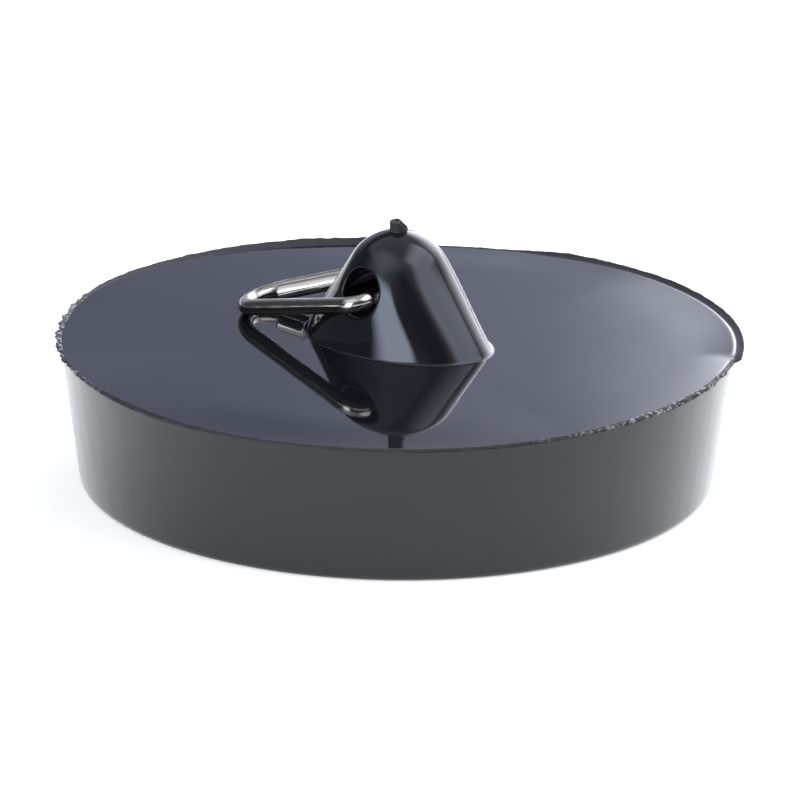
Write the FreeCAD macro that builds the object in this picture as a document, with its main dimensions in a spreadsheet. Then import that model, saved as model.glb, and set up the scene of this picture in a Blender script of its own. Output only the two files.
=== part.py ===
import FreeCAD, Part
import math
import os
import Sketcher

# Rubber sink and bath plug with a wire pull ring, in millimetres.
# The origin is at the centre of the underside, +Z up. The knob's hole runs along Y, and at rest the
# ring lies down towards -X, with its bend just above the plate.

doc = FreeCAD.newDocument("drain_stopper")
sheet = doc.addObject("Spreadsheet::Sheet", "Sizes")

DRIVING_SIZES = [
    # tapered disc, with a thin flash lip left round its top rim by the mould
    ("base_radius", 22.05),
    ("wall_top_radius", 23.25),
    ("rim_height", 9.6),
    ("crown_rise", 0.2),
    ("lip_overhang", 0.8),
    ("lip_thickness", 0.3),
    ("lip_rise", 0.55),
    ("lip_drop", 0.3),
    ("base_round", 0.5),
    # hollow underside, so that the skirt can give in the drain
    ("skirt_thickness", 3.25),
    ("plate_thickness", 3.2),
    ("recess_draft", 0.8),
    ("recess_round", 1.2),
    # knob: oval at its foot, round at its shoulder, with a domed top and the stub of the sprue
    ("foot_half_length", 7.4),
    ("foot_half_width", 5.05),
    ("shoulder_rise", 5.5),
    ("shoulder_radius", 3.57),
    ("knob_rise", 7.9),
    ("knob_sink", 0.6),
    ("nub_radius", 0.62),
    ("nub_tip_radius", 0.5),
    ("nub_rise", 0.7),
    # cross hole for the ring, a little towards -X of the knob's middle
    ("hole_diameter", 3.2),
    ("hole_rise", 4.2),
    ("hole_offset", 0.3),
    ("hole_round", 0.25),
    # wire ring: a rounded triangle whose ends lap side by side on the far leg
    ("wire_diameter", 1.15),
    ("corner_radius", 1.0),
    ("apex_radius", 2.75),
    ("leg_angle", 18.2),
    ("lap_gap", 0.15),
    ("lap_overrun", 0.7),
    ("lap_tail", 0.6),
    ("wire_end_round", 0.15),
    ("ring_side_play", 0.167),
    # how the ring lies in its loose hole and on the plate at rest
    ("ring_offset", 0.1),
    ("ring_drop", 0.15),
    ("ring_rock", 1.5),
    ("hole_rest_gap", 0.175),
    ("plate_rest_gap", 0.12),
]

DERIVED_SIZES = [
    ("plate_height", "rim_height + crown_rise"),
    ("lip_top", "rim_height + lip_rise"),
    ("lip_foot", "rim_height - lip_drop"),
    ("lip_radius", "wall_top_radius + lip_overhang"),
    ("lip_inner_radius", "lip_radius - lip_thickness"),
    ("recess_mouth_radius", "base_radius - skirt_thickness"),
    ("recess_top_radius", "recess_mouth_radius - recess_draft"),
    ("recess_depth", "rim_height - plate_thickness"),
    ("foot_height", "plate_height - knob_sink"),
    ("shoulder_height", "plate_height + shoulder_rise"),
    ("middle_height", "(foot_height + shoulder_height) / 2"),
    ("foot_length", "foot_half_length + (foot_half_length - shoulder_radius) * knob_sink / shoulder_rise"),
    ("foot_width", "foot_half_width + (foot_half_width - shoulder_radius) * knob_sink / shoulder_rise"),
    ("middle_length", "(foot_length + shoulder_radius) / 2"),
    ("middle_width", "(foot_width + shoulder_radius) / 2"),
    ("knob_top", "plate_height + knob_rise"),
    ("dome_rise", "knob_rise - shoulder_rise"),
    ("dome_radius", "(shoulder_radius ^ 2 + dome_rise ^ 2) / (2 * dome_rise)"),
    ("dome_centre", "knob_top - dome_radius"),
    ("seam_height", "(3 * shoulder_height + 2 * knob_top) / 5"),
    ("seam_radius", "sqrt(dome_radius ^ 2 - (seam_height - dome_centre) ^ 2)"),
    ("nub_foot", "dome_centre + sqrt(dome_radius ^ 2 - nub_radius ^ 2)"),
    ("nub_top", "knob_top + nub_rise"),
    ("hole_height", "plate_height + hole_rise"),
    ("hole_radius", "hole_diameter / 2"),
    ("swing_height", "hole_height - ring_drop"),
    ("wire_radius", "wire_diameter / 2"),
    ("knob_half_width", "foot_half_width - (foot_half_width - shoulder_radius) * hole_rise / shoulder_rise"),
    ("corner_spread", "knob_half_width + ring_side_play"),
    ("lap_pitch", "wire_diameter + lap_gap"),
]

row = 0
for alias, number in DRIVING_SIZES:
    row += 1
    sheet.set(f"A{row}", alias)
    sheet.set(f"B{row}", str(number))
    sheet.setAlias(f"B{row}", alias)
for alias, formula in DERIVED_SIZES:
    row += 1
    sheet.set(f"A{row}", alias)
    sheet.set(f"B{row}", "=" + formula)
    sheet.setAlias(f"B{row}", alias)
doc.recompute()


def size(alias):
    return float(sheet.get(alias))


# Sketch helpers

class Index:
    """Numbers by which a sketch knows its own origin and axes, and the points of a curve."""

    ORIGIN = (-1, 1)
    ACROSS_AXIS, UP_AXIS = range(-1, -3, -1)
    START, END, CENTRE = range(1, 4)


def new_sketch(body, name, plane_role, height=None):
    sketch = body.newObject("Sketcher::SketchObject", name)
    plane = [p for p in body.Origin.OriginFeatures if p.Role == plane_role][0]
    sketch.AttachmentSupport = (plane, [""])
    sketch.MapMode = "FlatFace"
    if height:
        sketch.setExpression("AttachmentOffset.Base.z", "Sizes." + height)
    return sketch


def bind(sketch, kind, *where, to):
    index = sketch.addConstraint(Sketcher.Constraint(kind, *where, size(to)))
    sketch.setExpression(f"Constraints[{index}]", "Sizes." + to)


def pin_corner(sketch, edge, end, across, up):
    """Holds one end of an edge at two named distances from the sketch's origin, None for zero."""
    if across:
        bind(sketch, "DistanceX", *Index.ORIGIN, edge, end, to=across)
    else:
        sketch.addConstraint(Sketcher.Constraint("PointOnObject", edge, end, Index.UP_AXIS))
    if up:
        bind(sketch, "DistanceY", *Index.ORIGIN, edge, end, to=up)
    else:
        sketch.addConstraint(Sketcher.Constraint("PointOnObject", edge, end, Index.ACROSS_AXIS))


def corner_point(corner):
    across, up = corner
    return FreeCAD.Vector(size(across) if across else 0, size(up) if up else 0, 0)


def draw_turned_profile(sketch, corners, arc_start):
    """Closed outline through the corners; the side that leaves corner arc_start is an arc about the axis."""
    points = [corner_point(c) for c in corners]
    count = len(points)
    edges = []
    for i in range(count):
        here, following = points[i], points[(i + 1) % count]
        if i == arc_start:
            square_difference = here.Length ** 2 - following.Length ** 2
            centre = FreeCAD.Vector(0, square_difference / (2 * (here.y - following.y)), 0)
            circle = Part.Circle(centre, FreeCAD.Vector(0, 0, 1), (here - centre).Length)
            from_angle = math.atan2(here.y - centre.y, here.x)
            to_angle = math.atan2(following.y - centre.y, following.x)
            edges.append(sketch.addGeometry(Part.ArcOfCircle(circle, from_angle, to_angle)))
        else:
            edges.append(sketch.addGeometry(Part.LineSegment(here, following)))
    for i in range(count):
        joined = (edges[i], Index.END, edges[(i + 1) % count], Index.START)
        sketch.addConstraint(Sketcher.Constraint("Coincident", *joined))
        pin_corner(sketch, edges[i], Index.START, *corners[i])
    sketch.addConstraint(Sketcher.Constraint("PointOnObject", edges[arc_start], Index.CENTRE, Index.UP_AXIS))


def turn(body, name, sketch):
    feature = body.newObject("PartDesign::Revolution", name)
    feature.Profile = sketch
    feature.ReferenceAxis = (sketch, ["V_Axis"])
    feature.Angle = 360
    doc.recompute()
    return feature


def round_edges(body, name, base, radius, wanted):
    """Rounds the edges of the base feature for which wanted(edge) is true."""
    names = [f"Edge{i + 1}" for i, edge in enumerate(base.Shape.Edges) if wanted(edge)]
    feature = body.newObject("PartDesign::Fillet", name)
    feature.Base = (base, names)
    feature.setExpression("Radius", "Sizes." + radius)
    doc.recompute()
    return feature


def is_ring_edge(edge, radius, height):
    box = edge.BoundBox
    level = abs(box.ZMin - height) < 0.005 and abs(box.ZMax - height) < 0.005
    return level and isinstance(edge.Curve, Part.Circle) and abs(edge.Curve.Radius - radius) < 0.005


# Plug body: one moulding, made of the turned disc, the lofted knob, its turned dome and the cross hole

plug = doc.addObject("PartDesign::Body", "plug_body")
plug.Label = "plug_body"

disc_profile = new_sketch(plug, "disc_profile", "XZ_Plane")
draw_turned_profile(
    disc_profile,
    [
        ("lip_inner_radius", "lip_top"),
        ("wall_top_radius", "rim_height"),
        (None, "plate_height"),
        (None, "recess_depth"),
        ("recess_top_radius", "recess_depth"),
        ("recess_mouth_radius", None),
        ("base_radius", None),
        ("wall_top_radius", "lip_foot"),
        ("lip_radius", "lip_top"),
    ],
    arc_start=1,
)
disc = turn(plug, "disc", disc_profile)


def draw_oval(sketch, half_length, half_width):
    along = FreeCAD.Vector(size(half_length), 0, 0)
    aside = FreeCAD.Vector(0, size(half_width), 0)
    oval = sketch.addGeometry(Part.Ellipse(along, aside, FreeCAD.Vector(0, 0, 0)))
    sketch.exposeInternalGeometry(oval)
    long_axis, short_axis = oval + 1, oval + 2
    sketch.addConstraint(Sketcher.Constraint("Coincident", oval, Index.CENTRE, *Index.ORIGIN))
    sketch.addConstraint(Sketcher.Constraint("PointOnObject", long_axis, Index.START, Index.ACROSS_AXIS))
    bind(sketch, "DistanceX", *Index.ORIGIN, long_axis, Index.START, to=half_length)
    bind(sketch, "DistanceY", *Index.ORIGIN, short_axis, Index.START, to=half_width)


def draw_round(sketch, radius):
    circle = Part.Circle(FreeCAD.Vector(0, 0, 0), FreeCAD.Vector(0, 0, 1), size(radius))
    edge = sketch.addGeometry(circle)
    sketch.addConstraint(Sketcher.Constraint("Coincident", edge, Index.CENTRE, *Index.ORIGIN))
    bind(sketch, "Radius", edge, to=radius)


knob_foot = new_sketch(plug, "knob_foot", "XY_Plane", "foot_height")
draw_oval(knob_foot, "foot_length", "foot_width")
knob_middle = new_sketch(plug, "knob_middle", "XY_Plane", "middle_height")
draw_oval(knob_middle, "middle_length", "middle_width")
knob_shoulder = new_sketch(plug, "knob_shoulder", "XY_Plane", "shoulder_height")
draw_round(knob_shoulder, "shoulder_radius")
knob_seam = new_sketch(plug, "knob_seam", "XY_Plane", "seam_height")
draw_round(knob_seam, "seam_radius")

knob = plug.newObject("PartDesign::AdditiveLoft", "knob")
knob.Profile = knob_foot
knob.Sections = [knob_middle, knob_shoulder, knob_seam]
knob.Ruled = False
doc.recompute()

dome_profile = new_sketch(plug, "dome_profile", "XZ_Plane")
draw_turned_profile(
    dome_profile,
    [
        (None, "seam_height"),
        ("seam_radius", "seam_height"),
        ("nub_radius", "nub_foot"),
        ("nub_tip_radius", "nub_top"),
        (None, "nub_top"),
    ],
    arc_start=1,
)
dome = turn(plug, "dome", dome_profile)

hole_sketch = new_sketch(plug, "hole_sketch", "XZ_Plane")
hole_centre = FreeCAD.Vector(-size("hole_offset"), size("hole_height"), 0)
hole_circle = hole_sketch.addGeometry(
    Part.Circle(hole_centre, FreeCAD.Vector(0, 0, 1), size("hole_radius"))
)
bind(hole_sketch, "DistanceX", hole_circle, Index.CENTRE, *Index.ORIGIN, to="hole_offset")
bind(hole_sketch, "DistanceY", *Index.ORIGIN, hole_circle, Index.CENTRE, to="hole_height")
bind(hole_sketch, "Radius", hole_circle, to="hole_radius")
hole = plug.newObject("PartDesign::Pocket", "cross_hole")
hole.Profile = hole_sketch
hole.Type = "ThroughAll"
hole.Midplane = True
doc.recompute()


def is_hole_mouth(edge):
    """A rim of the hole is as wide as the hole, and lies wholly on one side of the knob's middle."""
    reach = size("hole_radius")
    box = edge.BoundBox
    as_wide = abs(box.XMin - hole_centre.x + reach) < 0.005 and abs(box.XMax - hole_centre.x - reach) < 0.005
    as_low = abs(box.ZMin - hole_centre.y + reach) < 0.005
    return as_wide and as_low and box.YMin * box.YMax > 0


mouth_round = round_edges(plug, "hole_mouth_round", hole, "hole_round", is_hole_mouth)
recess_round = round_edges(
    plug, "recess_round_edge", mouth_round, "recess_round",
    lambda edge: is_ring_edge(edge, size("recess_top_radius"), size("recess_depth")),
)
round_edges(
    plug, "base_round_edge", recess_round, "base_round",
    lambda edge: is_ring_edge(edge, size("base_radius"), 0),
)

# Pull ring: one wire, swept along a flat path of four straight runs and three bends.
# The ring's own X runs from the hole to the apex, and +Y is its front leg.

ring = doc.addObject("PartDesign::Body", "pull_ring")
ring.Label = "pull_ring"

leg_angle = math.radians(size("leg_angle"))
leg_cos = math.cos(leg_angle)
leg_sin = math.sin(leg_angle)
corner = size("corner_radius")
spread = size("corner_spread")
apex = size("apex_radius")
pitch = size("lap_pitch")
wire_radius = size("wire_radius")

front_along = FreeCAD.Vector(leg_cos, -leg_sin, 0)
front_out = FreeCAD.Vector(leg_sin, leg_cos, 0)
back_along = FreeCAD.Vector(leg_cos, leg_sin, 0)
back_out = FreeCAD.Vector(leg_sin, -leg_cos, 0)

front_centre = FreeCAD.Vector(corner, spread, 0)
back_centre = FreeCAD.Vector(corner, -spread, 0)
leg_reach = front_out.dot(front_centre) + corner
apex_centre = FreeCAD.Vector((2 * leg_reach + pitch - 2 * apex) / (2 * leg_sin), -pitch / (2 * leg_cos), 0)
apex_reach = apex_centre.x + apex

front_bend = front_centre + front_out * corner
back_bend = back_centre + back_out * corner
apex_front = apex_centre + front_out * apex
apex_back = apex_centre + back_out * apex

# The inner end runs on a little past the start of the apex bend, and the outer end stops short of the
# far corner's bend
inner_end = apex_back - back_out * pitch + back_along * size("lap_overrun")
outer_end = back_bend + back_out * pitch + back_along * size("lap_tail")

ring_path = new_sketch(ring, "ring_path", "XY_Plane")


def add_run(start, end):
    return ring_path.addGeometry(Part.LineSegment(start, end))


def add_spoke(bend, end, centre, point):
    """Construction line from a bend's centre to the point where it meets the far leg, square to that leg."""
    spoke = ring_path.addGeometry(Part.LineSegment(centre, point), True)
    ring_path.addConstraint(Sketcher.Constraint("Coincident", spoke, Index.START, bend, Index.CENTRE))
    ring_path.addConstraint(Sketcher.Constraint("Coincident", spoke, Index.END, bend, end))
    return spoke


def add_bend(centre, radius, start_angle, end_angle):
    circle = Part.Circle(centre, FreeCAD.Vector(0, 0, 1), radius)
    return ring_path.addGeometry(Part.ArcOfCircle(circle, start_angle, end_angle))


quarter_turn = math.pi / 2
inner_leg = add_run(back_bend, inner_end)
far_corner = add_bend(back_centre, corner, math.pi, 2 * math.pi - quarter_turn + leg_angle)
base_run = add_run(FreeCAD.Vector(0, -spread, 0), FreeCAD.Vector(0, spread, 0))
near_corner = add_bend(front_centre, corner, quarter_turn - leg_angle, math.pi)
front_leg = add_run(front_bend, apex_front)
apex_bend = add_bend(apex_centre, apex, leg_angle - quarter_turn, quarter_turn - leg_angle)
outer_leg = add_run(apex_back, outer_end)

for first, first_end, second, second_end in [
    (inner_leg, Index.START, far_corner, Index.END),
    (far_corner, Index.START, base_run, Index.START),
    (base_run, Index.END, near_corner, Index.END),
    (near_corner, Index.START, front_leg, Index.START),
    (front_leg, Index.END, apex_bend, Index.END),
    (apex_bend, Index.START, outer_leg, Index.START),
]:
    ring_path.addConstraint(Sketcher.Constraint("Tangent", first, first_end, second, second_end))

ring_path.addConstraint(Sketcher.Constraint("PointOnObject", base_run, Index.START, Index.UP_AXIS))
ring_path.addConstraint(Sketcher.Constraint("PointOnObject", base_run, Index.END, Index.UP_AXIS))
ring_path.addConstraint(Sketcher.Constraint("Parallel", inner_leg, outer_leg))
bind(ring_path, "Radius", far_corner, to="corner_radius")
bind(ring_path, "Radius", near_corner, to="corner_radius")
bind(ring_path, "Radius", apex_bend, to="apex_radius")
bind(ring_path, "DistanceY", *Index.ORIGIN, near_corner, Index.CENTRE, to="corner_spread")
bind(ring_path, "DistanceY", far_corner, Index.CENTRE, *Index.ORIGIN, to="corner_spread")
bind(ring_path, "Distance", outer_leg, Index.START, inner_leg, to="lap_pitch")
inner_tilt = ring_path.addConstraint(Sketcher.Constraint("Angle", inner_leg, leg_angle))
ring_path.setExpression(f"Constraints[{inner_tilt}]", "Sizes.leg_angle * 1 deg")
front_tilt = ring_path.addConstraint(Sketcher.Constraint("Angle", front_leg, -leg_angle))
ring_path.setExpression(f"Constraints[{front_tilt}]", "-Sizes.leg_angle * 1 deg")
apex_spoke = add_spoke(apex_bend, Index.START, apex_centre, apex_back)
bind(ring_path, "Distance", inner_leg, Index.END, apex_spoke, to="lap_overrun")
corner_spoke = add_spoke(far_corner, Index.END, back_centre, back_bend)
bind(ring_path, "Distance", outer_leg, Index.END, corner_spoke, to="lap_tail")

wire_section = new_sketch(ring, "wire_section", "XZ_Plane")
draw_round(wire_section, "wire_radius")
doc.recompute()

wire = ring.newObject("PartDesign::AdditivePipe", "wire")
wire.Profile = wire_section
wire.Spine = (ring_path, [""])
doc.recompute()


def is_cut_end(edge):
    """A cut end's rim is a circle of the wire's size round one of the path's two ends."""
    if not isinstance(edge.Curve, Part.Circle) or not edge.isClosed():
        return False
    middle = edge.Curve.Center
    return min((middle - inner_end).Length, (middle - outer_end).Length) < 0.005


round_edges(ring, "wire_ends", wire, "wire_end_round", is_cut_end)

# At rest the ring lies down until its bend is just above the plate, and it is skewed and rocked a
# little in its loose hole
side_room = size("hole_radius") - wire_radius - (size("hole_offset") - size("ring_offset"))
skew_offset = side_room - size("hole_rest_gap")
ring_skew = math.degrees(math.atan2(skew_offset, spread))
plate_fall = size("crown_rise") * (apex_reach / size("wall_top_radius")) ** 2
lowest_apex = size("plate_height") - plate_fall + wire_radius + size("plate_rest_gap")
apex_drop = size("swing_height") - lowest_apex
ring_tilt = math.degrees(math.asin(apex_drop / apex_reach))
ring.Placement = FreeCAD.Placement(
    FreeCAD.Vector(-size("ring_offset"), 0, size("swing_height")),
    FreeCAD.Rotation(180 + ring_skew, ring_tilt, -size("ring_rock")),
)
doc.recompute()

# Every object is checked before any file is written

for item in doc.Objects:
    if "Invalid" in item.State or "Error" in item.State:
        raise RuntimeError(f"{item.Name} failed: {item.State}")

pieces = [plug, ring]
for piece in pieces:
    if piece.Shape.isNull() or not piece.Shape.isValid() or len(piece.Shape.Solids) != 1:
        raise RuntimeError(f"{piece.Label} is not one valid solid")

# The ring swings about its own base run, which lies skewed in the hole
swing_axis = ring.Placement.Rotation.multVec(FreeCAD.Vector(0, -1, 0))
wire_length = sum(edge.Length for edge in ring_path.Shape.Edges)
swept_volume = math.pi * wire_radius ** 2 * wire_length
chain_place = ring.Placement.multVec(FreeCAD.Vector(apex_reach, apex_centre.y, 0))
chain_pull = ring.Placement.Rotation.multVec(FreeCAD.Vector(1, 0, 0))
print(f"swing axis {swing_axis.x:.4f} {swing_axis.y:.4f} {swing_axis.z:.4f} at {size('swing_height'):.3f}")
print(f"chain eye {chain_place.x:.2f} {chain_place.y:.2f} {chain_place.z:.2f}", end=", ")
print(f"pulled along {chain_pull.x:.3f} {chain_pull.y:.3f} {chain_pull.z:.3f}")
print(f"ring tilt {ring_tilt:.2f} skew {ring_skew:.2f} reach {apex_reach:.2f} wire length {wire_length:.2f}")
print(f"wire volume {wire.Shape.Volume:.3f}, section times length {swept_volume:.3f}")

os.makedirs("parts", exist_ok=True)
for piece in pieces:
    piece.Shape.exportStep(f"parts/{piece.Label}.step")
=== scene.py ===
import math

import bpy
import numpy as np
from mathutils import Matrix, Vector


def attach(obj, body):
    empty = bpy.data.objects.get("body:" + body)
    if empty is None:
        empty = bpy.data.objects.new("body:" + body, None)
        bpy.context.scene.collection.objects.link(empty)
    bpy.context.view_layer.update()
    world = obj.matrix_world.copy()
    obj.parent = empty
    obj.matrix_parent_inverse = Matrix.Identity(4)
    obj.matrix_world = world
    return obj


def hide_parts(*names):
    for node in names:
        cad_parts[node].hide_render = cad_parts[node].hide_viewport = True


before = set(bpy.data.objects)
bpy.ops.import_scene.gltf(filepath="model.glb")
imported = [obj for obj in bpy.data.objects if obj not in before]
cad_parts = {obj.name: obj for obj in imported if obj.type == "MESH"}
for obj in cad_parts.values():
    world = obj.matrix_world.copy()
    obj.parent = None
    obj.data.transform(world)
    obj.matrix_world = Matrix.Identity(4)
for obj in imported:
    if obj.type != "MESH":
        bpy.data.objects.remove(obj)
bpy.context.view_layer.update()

# Plug: a tapered disc with a knob on top, one moulding of black rubber. The two halves of its mould met
# at the rim of the top face, and the rubber that crept between them stands there as a torn fin of flash.

MM = 0.001
KNOB_STEPS = 360
RIM_STEPS = 1440
POLISHED, SATIN, TORN = range(3)

base_radius = 22.05
wall_top_radius = 23.25
wall_top_height = 9.3
base_round = 0.5
recess_mouth_radius = 18.8
recess_top_radius = 18.0
recess_depth = 6.4
recess_round = 1.2

points = []
faces = []
finishes = []
draw = np.random.default_rng(11)


def add_ring(ring):
    """Adds a closed row of corners, in millimetres, and returns their numbers."""
    first = len(points)
    points.extend(ring)
    return list(range(first, first + len(ring)))


def bridge(inner, outer, finish):
    """Closes the band between two rings, each edge of the inner one meeting one or more of the outer one."""
    share = len(outer) // len(inner)
    for i, corner in enumerate(inner):
        following = inner[(i + 1) % len(inner)]
        far_side = [outer[(i * share + k) % len(outer)] for k in range(share + 1)]
        faces.append((corner, *far_side, following))
        finishes.append(finish)


def round_ring(radii, heights, steps):
    """A ring about the plug's axis; radius and height are one number or one for each step."""
    turn = np.arange(steps) * 2 * math.pi / steps
    across = np.broadcast_to(radii, steps)
    up = np.broadcast_to(heights, steps)
    return np.column_stack([across * np.cos(turn), across * np.sin(turn), up])


def bend(start, corner, end, share):
    """A point on the smooth bend that leaves start and reaches end along the two sides of a corner."""
    return (1 - share) ** 2 * start + 2 * share * (1 - share) * corner + share ** 2 * end


# The top face is flat in the middle. As it cooled it rose a little at the sides and rolled off at the
# front and the back, with a shallow trough inside the rim at the back right and a crease where the fin
# changes. Bearings are in degrees from the side that faces the camera, growing to the right.

camera_side = -51.0
top_height = 9.82
# Bearing, edge radius, edge height, fin out, fin up, tooth depth as a share of the fin, dip inside the fin.
rim_rows = [
    (0, 23.22, 9.72, 0.14, -0.12, 0.30, 0.00),
    (20, 23.22, 9.74, 0.14, -0.12, 0.35, 0.00),
    (32, 23.20, 9.84, 0.20, -0.16, 0.50, 0.00),
    (45, 23.15, 9.94, 0.33, -0.22, 0.70, 0.00),
    (60, 23.15, 9.95, 0.37, -0.24, 0.70, 0.00),
    (70, 23.25, 9.97, 0.33, -0.20, 0.65, 0.00),
    (79, 23.40, 9.98, 0.32, -0.10, 0.40, 0.02),
    (80, 23.58, 9.98, 0.44, 0.10, 0.04, 0.05),
    (95, 23.62, 9.93, 0.41, 0.14, 0.04, 0.05),
    (105, 23.60, 9.88, 0.43, 0.18, 0.04, 0.05),
    (122, 23.58, 9.84, 0.44, 0.22, 0.05, 0.05),
    (138, 23.52, 9.84, 0.48, 0.18, 0.06, 0.05),
    (148, 23.40, 9.72, 0.55, 0.24, 0.07, 0.03),
    (153, 23.30, 9.71, 0.45, 0.18, 0.10, 0.02),
    (158, 23.25, 9.70, 0.20, 0.06, 0.20, 0.00),
    (164, 23.15, 9.64, 0.15, 0.04, 0.20, 0.00),
    (173, 23.00, 9.58, 0.20, 0.03, 0.20, 0.00),
    (178, 23.15, 9.60, 0.45, 0.20, 0.15, 0.00),
    (184, 23.25, 9.63, 0.55, 0.40, 0.10, 0.00),
    (197, 23.30, 9.74, 0.65, 0.38, 0.10, 0.00),
    (206, 23.40, 9.82, 0.62, 0.30, 0.10, 0.00),
    (214, 23.50, 9.87, 0.53, 0.26, 0.12, 0.00),
    (226, 23.60, 9.93, 0.43, 0.20, 0.12, 0.00),
    (237, 23.75, 9.98, 0.28, 0.16, 0.12, 0.00),
    (247, 23.70, 9.95, 0.33, 0.14, 0.40, 0.00),
    (254, 23.60, 9.88, 0.43, 0.15, 0.75, 0.00),
    (264, 23.45, 9.85, 0.52, 0.06, 0.85, 0.00),
    (275, 23.35, 9.80, 0.52, 0.00, 0.85, 0.00),
    (285, 23.25, 9.82, 0.38, -0.06, 0.75, 0.00),
    (293, 23.22, 9.88, 0.26, -0.14, 0.55, 0.00),
    (304, 23.20, 9.86, 0.18, -0.18, 0.35, 0.00),
    (318, 23.20, 9.79, 0.14, -0.18, 0.25, 0.00),
    (326, 23.22, 9.72, 0.12, -0.10, 0.20, 0.00),
    (342, 23.22, 9.70, 0.12, -0.10, 0.20, 0.00),
    (360, 23.22, 9.72, 0.14, -0.12, 0.30, 0.00),
]
rim_columns = np.array(rim_rows).T
crease_bearing = 81.0
crease_width = 1.1
crease_rise = 0.05
crease_fade = 12
crease_start = 20.8
crease_length = 2.6
fall_start = 17.4
fall_width = 6.4
trough_width = 4.8
trough_depth = 0.05
trough_bearings = [84, 96, 140, 155]


def plate_height(across, along):
    """The height of the top face at places on its plan view."""
    radius = np.hypot(across, along)
    bearing = (np.degrees(np.arctan2(along, across)) - camera_side) % 360
    near_bearings = (bearing + np.arange(-9, 10, 3)[:, None]) % 360
    edge_rise = np.interp(near_bearings, rim_columns[0], rim_columns[2]).mean(axis=0) - top_height
    share = radius / wall_top_radius
    fall = np.clip((radius - fall_start) / fall_width, 0, 1)
    warp = edge_rise * np.where(edge_rise > 0, share ** 3, fall ** 2 * (3 - 2 * fall))
    past_crease = (bearing - crease_bearing) / crease_width
    crease = np.tanh(past_crease) * np.exp(-np.abs(past_crease) / crease_fade)
    crease = crease * np.clip((radius - crease_start) / crease_length, 0, 1) ** 2
    past_trough = np.clip((radius - wall_top_radius + trough_width) / trough_width, 0, 1)
    trough = (past_trough ** 2 - past_trough ** 3) * np.interp(bearing, trough_bearings, [0, 1, 1, 0])
    return top_height + warp + crease_rise * crease - trough_depth * trough


# The knob is an oval at its foot and round at its shoulder. Its flank is a smooth loft through four
# levels, and its top is part of a ball, blended into the flank where the mould maker stoned the seam off.

level_heights = np.array([9.2, 12.25, 15.3, 16.26])
level_half_lengths = np.array([7.818, 5.694, 3.57, 3.005])
level_half_widths = np.array([5.211, 4.391, 3.57, 3.005])
dome_radius = 3.855
dome_centre = 13.845
stub_radius = 0.62
foot_height = 9.79
foot_round = 0.14

dome_first = math.asin(stub_radius / dome_radius)
dome_last = math.asin(level_half_lengths[-1] / dome_radius)
dome_turn = np.linspace(dome_first, dome_last, 140)
dome_heights = dome_centre + dome_radius * np.cos(dome_turn)
dome_halves = dome_radius * np.sin(dome_turn)
flank_heights = np.linspace(level_heights[-1], foot_height + foot_round, 330)[1:]
flank_lengths = np.polyval(np.polyfit(level_heights, level_half_lengths, 3), flank_heights)
flank_widths = np.polyval(np.polyfit(level_heights, level_half_widths, 3), flank_heights)
outline = np.column_stack([
    np.concatenate([dome_heights, flank_heights]),
    np.concatenate([dome_halves, flank_lengths]),
    np.concatenate([dome_halves, flank_widths]),
])
for _ in range(500):
    outline[1:-1] = (outline[:-2] + 2 * outline[1:-1] + outline[2:]) / 4
rows = outline[np.linspace(0, len(outline) - 1, 95).astype(int)]

knob_turn = np.arange(KNOB_STEPS) * 2 * math.pi / KNOB_STEPS
knob_rings = []
for height, half_length, half_width in rows:
    ring = np.column_stack([
        half_length * np.cos(knob_turn),
        half_width * np.sin(knob_turn),
        np.full(KNOB_STEPS, height),
    ])
    knob_rings.append(add_ring(ring))

# The cross hole was formed by a pin through the mould. Its mouths are a little rounded, and the skin of
# the knob runs into them without an edge.

hole_height = 14.0
hole_offset = -0.3
hole_radius = 1.6
hole_round = 0.25
window_half_turn = 33
window_top_height = 16.42
window_foot_height = 11.72
window_top = int(np.argmin(abs(rows[:, 0] - window_top_height)))
window_foot = int(np.argmin(abs(rows[:, 0] - window_foot_height)))
window_first = 270 - window_half_turn
window_last = 270 + window_half_turn


def in_window(row, column):
    """True for the cells of the front and back flank that make way for a mouth of the hole."""
    front = window_first <= column < window_last
    back = window_first <= (KNOB_STEPS - 1 - column) < window_last
    return window_top <= row < window_foot and (front or back)


for row in range(len(knob_rings) - 1):
    upper, lower = knob_rings[row], knob_rings[row + 1]
    for i in range(KNOB_STEPS):
        j = (i + 1) % KNOB_STEPS
        if not in_window(row, i):
            faces.append((upper[i], lower[i], lower[j], upper[j]))
            finishes.append(POLISHED)

window = [(window_foot, c) for c in range(window_first, window_last)]
window += [(r, window_last) for r in range(window_foot, window_top, -1)]
window += [(window_top, c) for c in range(window_last, window_first, -1)]
window += [(r, window_first) for r in range(window_top, window_foot)]
front_edge = [knob_rings[r][c] for r, c in window]
back_edge = [knob_rings[r][(KNOB_STEPS - c) % KNOB_STEPS] for r, c in window]
edge_across = np.array([points[n][0] for n in front_edge])
edge_up = np.array([points[n][2] for n in front_edge])
bearing = np.arctan2(edge_up - hole_height, edge_across - hole_offset)


def flank_depth(across, up):
    """How far the knob's skin is from its middle plane, at places on the front or back flank."""
    half_length = np.interp(up, rows[::-1, 0], rows[::-1, 1])
    half_width = np.interp(up, rows[::-1, 0], rows[::-1, 2])
    return half_width * np.sqrt(1 - (across / half_length) ** 2)


def mouth_circle(radius):
    return hole_offset + radius * np.cos(bearing), hole_height + radius * np.sin(bearing)


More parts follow.
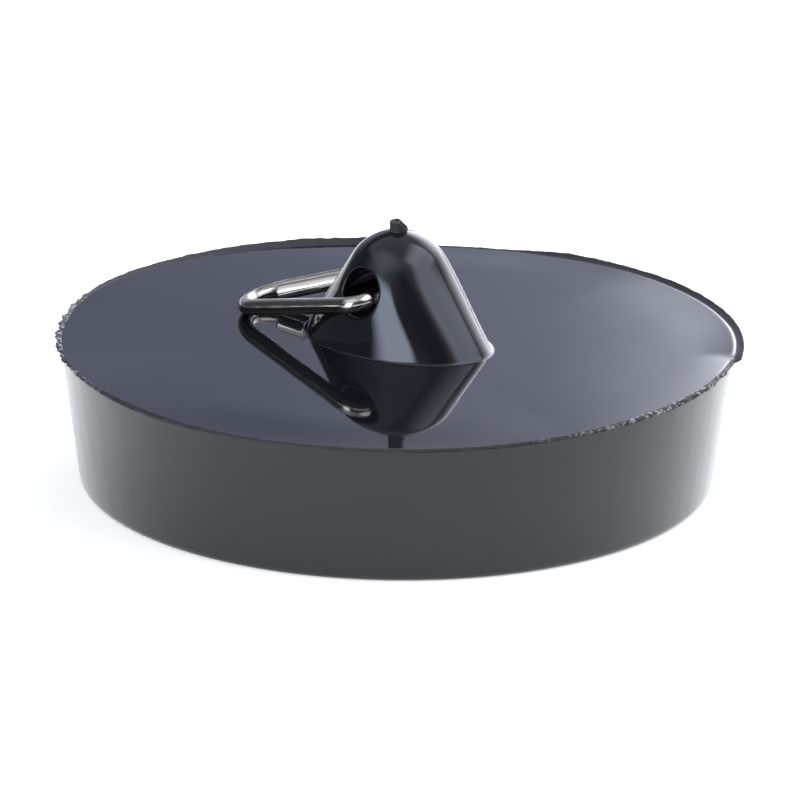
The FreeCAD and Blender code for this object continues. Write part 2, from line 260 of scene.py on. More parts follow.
mouth_across, mouth_up = mouth_circle(hole_radius + hole_round)
hole_across, hole_up = mouth_circle(hole_radius)
skin = []
for share in np.linspace(0, 1, 13)[1:]:
    across = (1 - share) * edge_across + share * mouth_across
    up = (1 - share) * edge_up + share * mouth_up
    skin.append(np.column_stack([across, -flank_depth(across, up), up]))
mouth = skin[-1]
corner = np.column_stack([hole_across, -flank_depth(hole_across, hole_up), hole_up])
inside = corner + np.array([0, hole_round, 0])
skin += [bend(mouth, corner, inside, share) for share in np.linspace(0, 1, 8)[1:]]
back_wall = inside * np.array([1, -1, 1])
bore = [(1 - share) * inside + share * back_wall for share in np.linspace(0, 1, 20)[1:-1]]
back_skin = [ring * np.array([1, -1, 1]) for ring in reversed(skin)]
hole_rings = [front_edge] + [add_ring(ring) for ring in skin + bore + back_skin] + [back_edge]
for outer, inner in zip(hole_rings, hole_rings[1:]):
    bridge(inner, outer, POLISHED)

# The stub of the sprue, where the rubber ran into the mould, was snapped off. It is torn: high on one side
# and broken down on the other.

stub_rise = 0.72
stub_low = 0.34
stub_bearing = math.radians(39)


def torn_draw(steps, count, low, high):
    """A ragged closed row: random heights at count places, joined by straight slopes."""
    heights = draw.uniform(low, high, count)
    return np.interp(np.arange(steps) * count / steps, np.arange(count + 1), np.append(heights, heights[0]))


stub_side = np.cos(knob_turn - stub_bearing)
stub_top = stub_low + (stub_rise - stub_low) * np.clip((0.85 - stub_side) / 0.8, 0, 1)
stub_foot = rows[0, 0]
stub_rings = [knob_rings[0]]
for share in (0.12, 0.35, 0.6, 0.82, 1.0):
    swell = 1 + 0.07 * math.sin(share * 3) * (stub_side > 0) + torn_draw(KNOB_STEPS, 17, -0.09, 0.03) * share
    rise = stub_top * share + torn_draw(KNOB_STEPS, 23, -0.05, 0.0) * share
    stub_rings.append(add_ring(round_ring(stub_radius * swell, stub_foot + rise, KNOB_STEPS)))
for shrink in (0.8, 0.55, 0.25):
    rise = stub_top - (0.1 + 0.1 * (1 - shrink)) + torn_draw(KNOB_STEPS, 15, -0.12, 0.1) * shrink
    stub_rings.append(add_ring(round_ring(stub_radius * shrink, stub_foot + rise, KNOB_STEPS)))
for lower, upper in zip(stub_rings, stub_rings[1:]):
    bridge(upper, lower, TORN)
stub_middle = add_ring([np.array([0, 0, stub_foot + 0.45])])[0]
for i, corner_number in enumerate(stub_rings[-1]):
    faces.append((stub_middle, corner_number, stub_rings[-1][(i + 1) % KNOB_STEPS]))
    finishes.append(TORN)

# The top face runs from a small round at the knob's foot out to the rim. Its rings are ovals like the
# foot at first, and round from there on.

plate_round_radius = 10.0
plate_last_radius = 21.8
flank_foot = np.array([points[n] for n in knob_rings[-1]])
oval = np.column_stack([np.cos(knob_turn), np.sin(knob_turn)])
foot_halves = np.array([
    np.polyval(np.polyfit(level_heights, level_half_lengths, 3), foot_height),
    np.polyval(np.polyfit(level_heights, level_half_widths, 3), foot_height),
])


def on_plate(flat):
    """Lifts places on the plan view to the top face."""
    return np.column_stack([flat, plate_height(flat[:, 0], flat[:, 1])])


foot_corner = on_plate(oval * foot_halves)
plate_start = on_plate(oval * (foot_halves + foot_round))
plate_rings = [knob_rings[-1]]
for share in np.linspace(0, 1, 7)[1:]:
    plate_rings.append(add_ring(bend(flank_foot, foot_corner, plate_start, share)))
for share in (0.08, 0.2, 0.4, 0.65, 1.0):
    halves = (1 - share) * (foot_halves + foot_round) + share * plate_round_radius
    plate_rings.append(add_ring(on_plate(oval * halves)))
for radius in np.linspace(plate_round_radius, plate_last_radius, 22)[1:]:
    plate_rings.append(add_ring(on_plate(oval * radius)))
for inner, outer in zip(plate_rings, plate_rings[1:]):
    bridge(inner, outer, POLISHED)

# Flash fin: it stands up and out along the back, where it is torn away in one place. At the left it is
# saw-toothed, and along the front it was trimmed to a ragged edge that droops over the wall.

fin_limit = 24.03
fin_foot_round = 0.12
fin_tip_thickness = 0.1
fin_root_thickness = 0.1
fin_teeth = 300
fin_crumbs = 480

rim_turn = np.arange(RIM_STEPS) * 2 * math.pi / RIM_STEPS
rim_bearing = (np.degrees(rim_turn) - camera_side) % 360
foot_across, _, fin_out, fin_up, tooth_depth, dip = [
    np.interp(rim_bearing, rim_columns[0], column) for column in rim_columns[1:]]


def rim_ring(inset):
    """A ring on the top face, in from its edge."""
    radii = foot_across - inset
    return round_ring(radii, plate_height(radii * np.cos(rim_turn), radii * np.sin(rim_turn)), RIM_STEPS)


foot_up = rim_ring(0.0)[:, 2]
fin_length = np.hypot(fin_out, fin_up)
along_across = fin_out / fin_length
along_up = fin_up / fin_length
teeth = tooth_depth * torn_draw(RIM_STEPS, fin_teeth, 0.0, 1.0)
fin_length *= 1 - teeth - torn_draw(RIM_STEPS, fin_crumbs, 0, 0.08)


def fin_ring(out, below, waver=0.0):
    """A ring on the fin: out along it from its foot, and below its upper face."""
    shake = waver * torn_draw(RIM_STEPS, fin_crumbs, -1.0, 1.0)
    across = foot_across + out * along_across + below * along_up
    up = foot_up - dip + out * along_up - below * along_across + shake
    return round_ring(np.minimum(across, fin_limit), up, RIM_STEPS)


def wall_radius(height):
    return base_radius + (wall_top_radius - base_radius) * height / wall_top_height


fin_start = fin_ring(np.minimum(fin_foot_round, 0.5 * fin_length), 0.0)
edge_bend = round_ring(foot_across, foot_up - dip, RIM_STEPS)
dip_start = rim_ring(0.32)
dip_bend = rim_ring(0.2)
dip_foot = rim_ring(fin_foot_round) - np.outer(dip, [0, 0, 1])
rim_rings = [plate_rings[-1]]
rim_rings += [add_ring(rim_ring(inset)) for inset in np.linspace(1.1, 0.45, 4)]
rim_rings += [add_ring(bend(dip_start, dip_bend, dip_foot, share)) for share in np.linspace(0, 1, 5)[:-1]]
polished_rings = len(rim_rings)
rim_rings += [add_ring(bend(dip_foot, edge_bend, fin_start, share)) for share in np.linspace(0, 1, 7)]
crumble = 0.02 + 0.12 * tooth_depth
rim_rings.append(add_ring(fin_ring(0.5 * fin_length, 0.0, 0.6 * crumble)))
rim_rings.append(add_ring(fin_ring(0.8 * fin_length, 0.0, crumble)))
rim_rings.append(add_ring(fin_ring(fin_length, 0.0, 0.5 * crumble)))
rim_rings.append(add_ring(fin_ring(fin_length + 0.02, 0.5 * fin_tip_thickness, 0.5 * crumble)))
tip_under = fin_ring(fin_length - 0.02, fin_tip_thickness, 0.5 * crumble)
root_up = foot_up + np.minimum(fin_up, 0) - fin_root_thickness
root = round_ring(wall_radius(root_up), root_up, RIM_STEPS)
rim_rings += [add_ring(tip_under), add_ring(0.5 * (tip_under + root)), add_ring(root)]
torn_rings = len(rim_rings) - 1
for height in (root_up - 0.05, wall_top_height - 0.12):
    rim_rings.append(add_ring(round_ring(wall_radius(height), height, RIM_STEPS)))
for number in range(len(rim_rings) - 1):
    finish = POLISHED if number < polished_rings else TORN if number < torn_rings else SATIN
    bridge(rim_rings[number], rim_rings[number + 1], finish)

# The satin wall tapers in to the foot. Below, the skirt is a plain ring round a hollow, so that it can
# give a little when the plug is pushed into a drain.

recess_draft = recess_mouth_radius - recess_top_radius
under = [(wall_radius(height), height) for height in np.linspace(8.8, base_round + 0.4, 9)]
round_top = np.array([wall_radius(base_round), base_round])
round_corner = np.array([base_radius, 0.0])
round_end = np.array([base_radius - base_round, 0.0])
under += [tuple(bend(round_top, round_corner, round_end, share)) for share in np.linspace(0, 1, 8)]
under += [(20.2, 0.0), (recess_mouth_radius + 0.15, 0.0), (recess_mouth_radius - 0.02, 0.15)]
hollow_round_start = recess_depth - recess_round
for height in np.linspace(0.8, hollow_round_start, 6):
    under.append((recess_mouth_radius - recess_draft * height / recess_depth, height))
hollow_start = np.array(under[-1])
hollow_corner = np.array([recess_top_radius, recess_depth])
hollow_end = np.array([recess_top_radius - recess_round, recess_depth])
under += [tuple(bend(hollow_start, hollow_corner, hollow_end, share)) for share in np.linspace(0, 1, 9)[1:]]
under += [(radius, recess_depth) for radius in (14.0, 10.0, 6.0, 2.0)]
under_rings = [rim_rings[-1]] + [add_ring(round_ring(r, h, RIM_STEPS)) for r, h in under]
for upper, lower in zip(under_rings, under_rings[1:]):
    bridge(upper, lower, SATIN)
hollow_middle = add_ring([np.array([0, 0, recess_depth])])[0]
for i, corner_number in enumerate(under_rings[-1]):
    faces.append((under_rings[-1][(i + 1) % RIM_STEPS], corner_number, hollow_middle))
    finishes.append(SATIN)

plug_mesh = bpy.data.meshes.new("plug_moulding")
plug_mesh.from_pydata([tuple(p * MM) for p in points], [], faces)
plug_mesh.polygons.foreach_set("material_index", finishes)
# Painted glints: a weight for the pale specks on the torn fin, growing with the depth of its teeth.
painted_glint_weight = np.zeros(len(points))
for ring in rim_rings[polished_rings:torn_rings]:
    painted_glint_weight[ring] = np.clip((tooth_depth - 0.35) / 0.45, 0, 1)
plug_mesh.attributes.new("painted_glint_weight", "FLOAT", "POINT").data.foreach_set("value", painted_glint_weight)
plug_mesh.shade_smooth()
plug_mesh.set_sharp_from_angle(angle=math.radians(50))
plug_mesh.validate()
plug = bpy.data.objects.new("plug_moulding", plug_mesh)
bpy.context.scene.collection.objects.link(plug)


def linear(hex_colour):
    """An sRGB hex value as the linear colour that the shaders take."""
    parts = [int(hex_colour[i:i + 2], 16) / 255 for i in (1, 3, 5)]
    return (*[p / 12.92 if p <= 0.04045 else ((p + 0.055) / 1.055) ** 2.4 for p in parts], 1.0)


def node(tree, kind, inputs, **settings):
    """Adds a node with its settings; an input is a number, a colour or another node's output."""
    made = tree.nodes.new(kind)
    for name, value in settings.items():
        setattr(made, name, value)
    for socket, value in inputs.items():
        if isinstance(value, bpy.types.NodeSocket):
            tree.links.new(value, made.inputs[socket])
        else:
            made.inputs[socket].default_value = value
    return made


# Natural rubber from the polished half of the mould: a near mirror, with faint smears from handling, a
# very slight ripple where the rubber shrank, and a few specks of dust.

polished = bpy.data.materials.new("rubber_from_polished_mould")
polished.use_nodes = True
tree = polished.node_tree
tree.nodes.clear()
place = node(tree, "ShaderNodeTexCoord", {})
smears = node(tree, "ShaderNodeTexNoise", {
    "Vector": place.outputs["Object"], "Scale": 1 / (7 * MM), "Detail": 4.0, "Distortion": 0.6})
smear_gloss = node(tree, "ShaderNodeMapRange", {
    "Value": smears.outputs["Fac"], "From Min": 0.35, "From Max": 0.7, "To Min": 0.03, "To Max": 0.06})
ripple = node(tree, "ShaderNodeTexNoise", {
    "Vector": place.outputs["Object"], "Scale": 1 / (3.5 * MM), "Detail": 1.0})
ripple_bump = node(tree, "ShaderNodeBump", {
    "Height": ripple.outputs["Fac"], "Strength": 1.0, "Distance": 0.004 * MM})
specks = node(tree, "ShaderNodeTexVoronoi", {
    "Vector": place.outputs["Object"], "Scale": 1 / (2.6 * MM), "Randomness": 1.0})
speck_mask = node(tree, "ShaderNodeMapRange", {
    "Value": specks.outputs["Distance"], "From Min": 0.012, "From Max": 0.02, "To Min": 1.0, "To Max": 0.0})
rubber_colour = node(tree, "ShaderNodeMix", {
    "Factor": speck_mask.outputs["Result"], "A": linear("#17171a"), "B": linear("#3b3a38")}, data_type="RGBA")
shader = node(tree, "ShaderNodeBsdfPrincipled", {
    "Base Color": rubber_colour.outputs["Result"], "Roughness": smear_gloss.outputs["Result"], "IOR": 1.52,
    "Normal": ripple_bump.outputs["Normal"]})
node(tree, "ShaderNodeOutputMaterial", {"Surface": shader.outputs["BSDF"]})

# The same rubber from the spark-eroded half of the mould: a fine satin grain with faint upright drag
# marks from pushing it out. A thin film of mould release on it greys the black in flat light.

satin = bpy.data.materials.new("rubber_from_eroded_mould")
satin.use_nodes = True
tree = satin.node_tree
tree.nodes.clear()
place = node(tree, "ShaderNodeTexCoord", {})
grain = node(tree, "ShaderNodeTexNoise", {
    "Vector": place.outputs["Object"], "Scale": 1 / (0.22 * MM), "Detail": 3.0})
upright = node(tree, "ShaderNodeMapping", {
    "Vector": place.outputs["Object"], "Scale": (1 / (1.1 * MM), 1 / (1.1 * MM), 1 / (14 * MM))})
drag = node(tree, "ShaderNodeTexNoise", {"Vector": upright.outputs["Vector"], "Scale": 1.0, "Detail": 3.0})
satin_gloss = node(tree, "ShaderNodeMapRange", {
    "Value": drag.outputs["Fac"], "From Min": 0.3, "From Max": 0.7, "To Min": 0.3, "To Max": 0.38})
bloom = node(tree, "ShaderNodeTexNoise", {
    "Vector": place.outputs["Object"], "Scale": 1 / (5 * MM), "Detail": 5.0, "Roughness": 0.6})
satin_colour = node(tree, "ShaderNodeMix", {
    "Factor": bloom.outputs["Fac"], "A": linear("#141518"), "B": linear("#1b1c20")}, data_type="RGBA")
grain_bump = node(tree, "ShaderNodeBump", {
    "Height": grain.outputs["Fac"], "Strength": 0.5, "Distance": 0.012 * MM})
drag_bump = node(tree, "ShaderNodeBump", {
    "Height": drag.outputs["Fac"], "Strength": 0.4, "Distance": 0.02 * MM,
    "Normal": grain_bump.outputs["Normal"]})
shader = node(tree, "ShaderNodeBsdfPrincipled", {
    "Base Color": satin_colour.outputs["Result"], "Roughness": satin_gloss.outputs["Result"], "IOR": 1.52,
    "Specular IOR Level": 0.35, "Sheen Weight": 0.68, "Sheen Roughness": 0.3,
    "Coat Weight": 1.0, "Coat Roughness": 0.15, "Coat IOR": 1.25,
    "Normal": drag_bump.outputs["Normal"]})
node(tree, "ShaderNodeOutputMaterial", {"Surface": shader.outputs["BSDF"]})

# The same rubber where flash and sprue tore: matt and crumbly, with painted glints: pale specks in its colour
# where the fin is torn deepest.

torn = bpy.data.materials.new("rubber_torn")
torn.use_nodes = True
tree = torn.node_tree
tree.nodes.clear()
place = node(tree, "ShaderNodeTexCoord", {})
crumb = node(tree, "ShaderNodeTexNoise", {
    "Vector": place.outputs["Object"], "Scale": 1 / (0.16 * MM), "Detail": 4.0, "Roughness": 0.65})
crumb_bump = node(tree, "ShaderNodeBump", {
    "Height": crumb.outputs["Fac"], "Strength": 0.8, "Distance": 0.06 * MM})
torn_colour = node(tree, "ShaderNodeMix", {
    "Factor": crumb.outputs["Fac"], "A": linear("#1e1e1e"), "B": linear("#3a3a39")}, data_type="RGBA")
# Painted glints: pale specks mixed into the colour, weighted by the fin's tooth depth.
speck = node(tree, "ShaderNodeTexNoise", {
    "Vector": place.outputs["Object"], "Scale": 1 / (0.3 * MM), "Detail": 2.0})
speck_mask = node(tree, "ShaderNodeMapRange", {
    "Value": speck.outputs["Fac"], "From Min": 0.53, "From Max": 0.6, "To Min": 0.0, "To Max": 1.0})
glint_weight_attribute = node(tree, "ShaderNodeAttribute", {}, attribute_name="painted_glint_weight")
painted_glint_share = node(tree, "ShaderNodeMath", {
    0: speck_mask.outputs["Result"], 1: glint_weight_attribute.outputs["Fac"]}, operation="MULTIPLY")
torn_colour = node(tree, "ShaderNodeMix", {
    "Factor": painted_glint_share.outputs["Value"], "A": torn_colour.outputs["Result"],
    "B": linear("#b9b9b4")}, data_type="RGBA")
shader = node(tree, "ShaderNodeBsdfPrincipled", {
    "Base Color": torn_colour.outputs["Result"], "Roughness": 0.5, "IOR": 1.52, "Specular IOR Level": 0.35,
    "Normal": crumb_bump.outputs["Normal"]})
node(tree, "ShaderNodeOutputMaterial", {"Surface": shader.outputs["BSDF"]})

for finish in (polished, satin, torn):
    plug_mesh.materials.append(finish)
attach(plug, "plug")
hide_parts("plug_body")

# Pull ring: one length of bright steel wire, bent round to a narrow triangle with its ends lapped along
# the far leg. It hangs loose in the knob's hole and lies down towards the left.

wire_radius = 0.575
ring_offset = -0.1
ring_drop = 0.15
corner_radius = 1.0
corner_spread = 4.087
apex_radius = 2.75
leg_angle = math.radians(18.2)
lap_pitch = 1.3
lap_overrun = 0.7
lap_tail = 0.6
wire_end_round = 0.15
ring_skew = math.radians(180 + 9.04)
ring_tilt = math.radians(15.65)
ring_rock = math.radians(-1.5)
WIRE_STEPS = 40

front_out = np.array([math.sin(leg_angle), math.cos(leg_angle)])
back_out = front_out * np.array([1, -1])
back_along = np.array([math.cos(leg_angle), math.sin(leg_angle)])
front_centre = np.array([corner_radius, corner_spread])
back_centre = front_centre * np.array([1, -1])
leg_reach = front_out @ front_centre + corner_radius
apex_centre = np.array([
    (2 * leg_reach + lap_pitch - 2 * apex_radius) / (2 * math.sin(leg_angle)),
    -lap_pitch / (2 * math.cos(leg_angle)),
])
back_bend = back_centre + back_out * corner_radius
apex_back = apex_centre + back_out * apex_radius
inner_end = apex_back - back_out * lap_pitch + back_along * lap_overrun
outer_end = back_bend + back_out * lap_pitch + back_along * lap_tail


def arc(centre, radius, first, last, steps):
    turn = np.radians(np.linspace(first, last, steps))
    return centre + radius * np.column_stack([np.cos(turn), np.sin(turn)])


def run(start, end, steps):
    share = np.linspace(0, 1, steps)[:, None]
    return (1 - share) * start + share * end


leg_turn = 90 - math.degrees(leg_angle)
centreline = np.vstack([
    run(inner_end, back_bend, 60)[:-1],
    arc(back_centre, corner_radius, -leg_turn, -180, 24),
    run(back_centre - [corner_radius, 0], front_centre - [corner_radius, 0], 40)[1:-1],
    arc(front_centre, corner_radius, 180, leg_turn, 24),
    run(front_centre + front_out * corner_radius, apex_centre + front_out * apex_radius, 60)[1:-1],
    arc(apex_centre, apex_radius, leg_turn, -leg_turn, 60),
    run(apex_back, outer_end, 60)[1:],
])
headings = np.gradient(centreline, axis=0)
headings /= np.linalg.norm(headings, axis=1)[:, None]
lengths = np.concatenate([[0], np.cumsum(np.linalg.norm(np.diff(centreline, axis=0), axis=1))])
wire_length = lengths[-1]

# Each end was nipped off a little askew, and its edge tumbled round.
end_turn = np.linspace(0, math.pi / 2, 7)
end_reach = wire_end_round * (1 - np.cos(end_turn))
end_radii = wire_radius - wire_end_round * (1 - np.sin(end_turn))
between = lengths[(lengths > 0.3) & (lengths < wire_length - 0.3)]
stations = np.concatenate([end_reach, between, wire_length - end_reach[::-1]])
radii = np.concatenate([end_radii, np.full(len(between), wire_radius), end_radii[::-1]])
askew = 0.2 * np.clip(1 - np.minimum(stations, wire_length - stations) / 0.3, 0, 1)

section_turn = np.arange(WIRE_STEPS) * 2 * math.pi / WIRE_STEPS
across_share = np.cos(section_turn)[:, None]
up_share = -np.sin(section_turn)[:, None]
rocked = Matrix.Rotation(ring_tilt, 3, "Y") @ Matrix.Rotation(ring_rock, 3, "X")
lay = np.array(Matrix.Rotation(ring_skew, 3, "Z") @ rocked)
points = []
faces = []
finishes = []
wire_rings = []
for reach, radius, slant in zip(stations, radii, askew):
    middle = np.array([*[np.interp(reach, lengths, side) for side in centreline.T], 0])
    heading = np.array([*[np.interp(reach, lengths, side) for side in headings.T], 0])
    heading /= np.linalg.norm(heading)
    across = np.array([-heading[1], heading[0], 0])
    ring = middle + radius * (across_share * across + up_share * np.array([0, 0, 1]))
    ring = ring + slant * radius * across_share * heading
    wire_rings.append(add_ring(ring @ lay.T + np.array([ring_offset, 0, hole_height - ring_drop])))
for earlier, later in zip(wire_rings, wire_rings[1:]):
    bridge(earlier, later, 0)
faces.append(tuple(wire_rings[0]))
faces.append(tuple(reversed(wire_rings[-1])))

ring_mesh = bpy.data.meshes.new("pull_ring_wire")
ring_mesh.from_pydata([tuple(p * MM) for p in points], [], faces)
ring_mesh.shade_smooth()
ring_mesh.set_sharp_from_angle(angle=math.radians(40))
wrap = ring_mesh.uv_layers.new(name="wire_wrap")
for face in ring_mesh.polygons:
    for corner_number in face.loop_indices:
        station, step = divmod(ring_mesh.loops[corner_number].vertex_index, WIRE_STEPS)
        last_step = step == 0 and any(
            ring_mesh.loops[c].vertex_index % WIRE_STEPS == WIRE_STEPS - 1 for c in face.loop_indices)
        wrap.data[corner_number].uv = (stations[station], (step + WIRE_STEPS * last_step) / WIRE_STEPS)
ring_mesh.validate()
pull_ring = bpy.data.objects.new("pull_ring_wire", ring_mesh)
bpy.context.scene.collection.objects.link(pull_ring)

# Bright drawn steel wire, tumbled after bending: nearly a mirror, with fine lines along it from the die
# and a few duller patches.

steel = bpy.data.materials.new("steel_wire_drawn_and_tumbled")
steel.use_nodes = True
tree = steel.node_tree
tree.nodes.clear()
wrapped = node(tree, "ShaderNodeUVMap", {}, uv_map="wire_wrap")
die_places = node(tree, "ShaderNodeMapping", {"Vector": wrapped.outputs["UV"], "Scale": (1 / 6, 26.0, 1.0)})
die_lines = node(tree, "ShaderNodeTexNoise", {
    "Vector": die_places.outputs["Vector"], "Scale": 1.0, "Detail": 2.0})
place = node(tree, "ShaderNodeTexCoord", {})
dull = node(tree, "ShaderNodeTexNoise", {
    "Vector": place.outputs["Object"], "Scale": 1 / (1.4 * MM), "Detail": 4.0})
steel_gloss = node(tree, "ShaderNodeMapRange", {
    "Value": dull.outputs["Fac"], "From Min": 0.4, "From Max": 0.7, "To Min": 0.07, "To Max": 0.2})
steel_colour = node(tree, "ShaderNodeMix", {
    "Factor": dull.outputs["Fac"], "A": linear("#d6d0c3"), "B": linear("#aca597")}, data_type="RGBA")
die_bump = node(tree, "ShaderNodeBump", {
    "Height": die_lines.outputs["Fac"], "Strength": 1.0, "Distance": 0.02 * MM})
shader = node(tree, "ShaderNodeBsdfPrincipled", {
    "Base Color": steel_colour.outputs["Result"], "Metallic": 1.0, "Roughness": steel_gloss.outputs["Result"],
    "Normal": die_bump.outputs["Normal"]})
node(tree, "ShaderNodeOutputMaterial", {"Surface": shader.outputs["BSDF"]})
ring_mesh.materials.append(steel)
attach(pull_ring, "ring")
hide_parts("pull_ring")

# Camera: a long lens close to the height of the table, turned a little about its own axis, as the
# photograph was taken.

camera_turn = math.radians(39.0)
camera_lift = math.radians(17.80)
camera_roll = math.radians(0.576)
camera_distance = 382.0
focal_pixels = 5506.0
frame_pixels = 800
look_at = Vector((0, 0, 10.15))
look_at_pixel = (397.4, 334.4)

to_camera_flat = Vector((math.sin(camera_turn), -math.cos(camera_turn), 0))
to_right = Vector((math.cos(camera_turn), math.sin(camera_turn), 0))
to_camera = to_camera_flat * math.cos(camera_lift) + Vector((0, 0, math.sin(camera_lift)))
upward = to_camera.cross(to_right)
camera_right = to_right * math.cos(camera_roll) + upward * math.sin(camera_roll)
camera_up = upward * math.cos(camera_roll) - to_right * math.sin(camera_roll)
aim_right = frame_pixels / 2 - look_at_pixel[0]
aim_down = frame_pixels / 2 - look_at_pixel[1]
backward = (to_camera * focal_pixels - camera_right * aim_right + camera_up * aim_down).normalized()
camera_right = (camera_right - backward * camera_right.dot(backward)).normalized()
camera_up = backward.cross(camera_right)

camera_data = bpy.data.cameras.new("camera")
camera_data.sensor_width = 36.0
camera_data.lens = 36.0 * focal_pixels / frame_pixels
camera = bpy.data.objects.new("camera", camera_data)
camera.matrix_world = Matrix.Translation((look_at + to_camera * camera_distance) * MM) @ Matrix(
    (camera_right, camera_up, backward)).transposed().to_4x4()
bpy.context.scene.collection.objects.link(camera)
bpy.context.scene.camera = camera

# Floor: a plain white table, wide enough to fill the view from any side. Its lift keeps it white where
# the lights fall off, and leaves the shadow at the plug's foot.

floor_mesh = bpy.data.meshes.new("floor")
floor_half = 1.6
floor_mesh.from_pydata([(-floor_half, -floor_half, 0), (floor_half, -floor_half, 0),
                        (floor_half, floor_half, 0), (-floor_half, floor_half, 0)], [], [(0, 1, 2, 3)])
floor = bpy.data.objects.new("floor", floor_mesh)
bpy.context.scene.collection.objects.link(floor)
table = bpy.data.materials.new("table_white_laminate")
table.use_nodes = True
tree = table.node_tree
tree.nodes.clear()
matt = node(tree, "ShaderNodeBsdfDiffuse", {"Color": linear("#fff8ec")})
lift = node(tree, "ShaderNodeEmission", {"Color": linear("#ffffff"), "Strength": 0.5})
lifted = node(tree, "ShaderNodeAddShader", {0: matt.outputs["BSDF"], 1: lift.outputs["Emission"]})
path = node(tree, "ShaderNodeLightPath", {})
seen = node(tree, "ShaderNodeMath", {
    0: path.outputs["Is Camera Ray"], 1: path.outputs["Is Glossy Ray"]}, operation="MAXIMUM")
seen = node(tree, "ShaderNodeMath", {
    0: seen.outputs["Value"], 1: path.outputs["Is Transmission Ray"]}, operation="MAXIMUM")
shown = node(tree, "ShaderNodeMixShader", {
    "Fac": seen.outputs["Value"], 1: matt.outputs["BSDF"], 2: lifted.outputs["Shader"]})
node(tree, "ShaderNodeOutputMaterial", {"Surface": shown.outputs["Shader"]})
floor_mesh.materials.append(table)

# Studio: a dim room with soft boxes round the table. Bearings are in degrees from the camera's side,
# growing to the right. The dark gap at the camera's own bearing gives the knob its dark middle stripe.


def soft_box(name, bearing_mid, bearing_span, lift_mid, lift_span, colour, strength, soft_edge, distance=0.9):
    """A glowing panel that faces the plug, spans those angles as seen from it, and fades at its edges."""
    turn = math.radians(bearing_mid)
    lift_turn = math.radians(lift_mid)
    outward = (to_camera_flat * math.cos(turn) + to_right * math.sin(turn)) * math.cos(lift_turn)
    outward = outward + Vector((0, 0, math.sin(lift_turn)))
    sideways = Vector((0, 0, 1)).cross(outward)
    sideways = sideways.normalized() if sideways.length > 0.01 else to_right
    upright_side = outward.cross(sideways)
    half_wide = distance * math.tan(math.radians(bearing_span / 2))
    half_high = distance * math.tan(math.radians(lift_span / 2))
    middle = outward * distance + Vector((0, 0, 0.012))
    corners = [middle + sideways * half_wide * a + upright_side * half_high * b
               for a, b in ((1, -1), (-1, -1), (-1, 1), (1, 1))]
    mesh = bpy.data.meshes.new(name)
    mesh.from_pydata([tuple(c) for c in corners], [], [(0, 1, 2, 3)])
    spread = mesh.uv_layers.new(name="panel")
    for number, uv in enumerate(((1, 0), (0, 0), (0, 1), (1, 1))):
        spread.data[number].uv = uv
    panel = bpy.data.objects.new(name, mesh)
    bpy.context.scene.collection.objects.link(panel)
    glow = bpy.data.materials.new(name + "_diffuser_cloth")
    glow.use_nodes = True
    tree = glow.node_tree
    tree.nodes.clear()
    spot = node(tree, "ShaderNodeUVMap", {}, uv_map="panel")
    sides = node(tree, "ShaderNodeSeparateXYZ", {"Vector": spot.outputs["UV"]})
    fades = []
    for side, edges in (("X", soft_edge[:2]), ("Y", soft_edge[2:])):
        near = node(tree, "ShaderNodeMapRange", {
            "Value": sides.outputs[side], "From Min": 0.0, "From Max": edges[0]},
            interpolation_type="SMOOTHSTEP")
        far = node(tree, "ShaderNodeMapRange", {
            "Value": sides.outputs[side], "From Min": 1.0, "From Max": 1.0 - edges[1]},
            interpolation_type="SMOOTHSTEP")
        fades.append(node(tree, "ShaderNodeMath", {
            0: near.outputs["Result"], 1: far.outputs["Result"]}, operation="MULTIPLY"))
    fade = node(tree, "ShaderNodeMath", {
        0: fades[0].outputs["Value"], 1: fades[1].outputs["Value"]}, operation="MULTIPLY")
    level = node(tree, "ShaderNodeMath", {0: fade.outputs["Value"], 1: strength}, operation="MULTIPLY")
    light = node(tree, "ShaderNodeEmission", {"Color": linear(colour), "Strength": level.outputs["Value"]})
    clear = node(tree, "ShaderNodeBsdfTransparent", {})
    veil = node(tree, "ShaderNodeAddShader", {0: light.outputs["Emission"], 1: clear.outputs["BSDF"]})
    node(tree, "ShaderNodeOutputMaterial", {"Surface": veil.outputs["Shader"]})
    mesh.materials.append(glow)
    panel.visible_camera = False


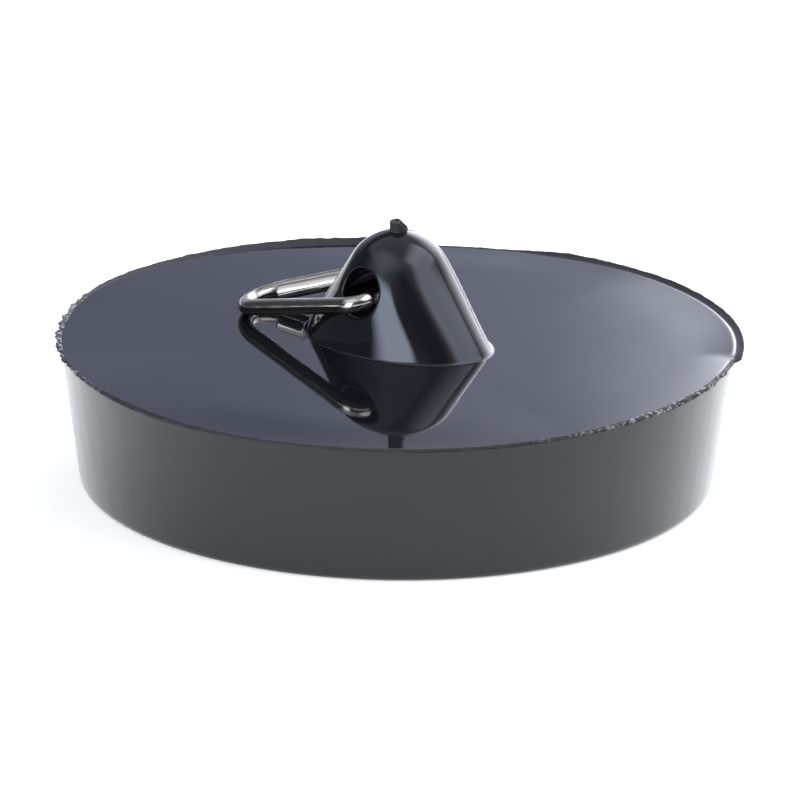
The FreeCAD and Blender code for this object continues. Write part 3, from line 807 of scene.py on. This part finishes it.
soft_box("key_box", -40, 44, 15, 42, "#dde8ff", 6.0, (0.4, 0.17, 0.02, 0.35))
soft_box("key_glow", -50, 90, 50, 68, "#dfe9ff", 0.9, (0.5, 0.5, 0.35, 0.3))
soft_box("fill_box", 82, 66, 50, 62, "#e2eaff", 2.7, (0.25, 0.12, 0.25, 0.35))
soft_box("rim_box", 143.3, 66.6, 22, 52, "#f2f5ff", 3.8, (0.609, 0.0816, 0.02, 0.5), 3.0)
soft_box("rim_tail", 160, 42, 22, 52, "#f2f5ff", 0.25, (0.3, 0.1, 0.02, 0.5), 3.1)
soft_box("backdrop", 195, 70, 14, 32, "#a8b0ce", 0.84, (0.05, 0.5, 0.02, 0.35), 3.2)
soft_box("ceiling", 0, 100, 90, 100, "#dfe3ee", 0.6, (0.15, 0.15, 0.15, 0.15), 0.8)

# Flag: a dark card that stands on the table at the left, out of the picture, and keeps the far table out
# of the knob's dark flank.

flag_distance = 0.19
flag_height = 0.026
flag_bearings = np.radians(np.linspace(-132, -58, 9))
flag_feet = [to_camera_flat * math.cos(turn) + to_right * math.sin(turn) for turn in flag_bearings]
flag_corners = [foot * flag_distance for foot in flag_feet]
flag_corners += [foot * flag_distance + Vector((0, 0, flag_height)) for foot in flag_feet]
flag_count = len(flag_feet)
flag_mesh = bpy.data.meshes.new("flag")
flag_mesh.from_pydata(flag_corners, [], [
    (i, i + 1, i + 1 + flag_count, i + flag_count) for i in range(flag_count - 1)])
flag = bpy.data.objects.new("flag", flag_mesh)
bpy.context.scene.collection.objects.link(flag)
card = bpy.data.materials.new("grey_card")
card.use_nodes = True
tree = card.node_tree
tree.nodes.clear()
matt = node(tree, "ShaderNodeBsdfDiffuse", {"Color": linear("#6a6a6c")})
node(tree, "ShaderNodeOutputMaterial", {"Surface": matt.outputs["BSDF"]})
flag_mesh.materials.append(card)
flag.visible_camera = False

world = bpy.data.worlds.new("dim_room")
bpy.context.scene.world = world
world.use_nodes = True
tree = world.node_tree
tree.nodes.clear()
room = node(tree, "ShaderNodeBackground", {"Color": linear("#6d717b"), "Strength": 0.5})
node(tree, "ShaderNodeOutputWorld", {"Surface": room.outputs["Background"]})
bpy.context.scene.view_settings.view_transform = "Standard"
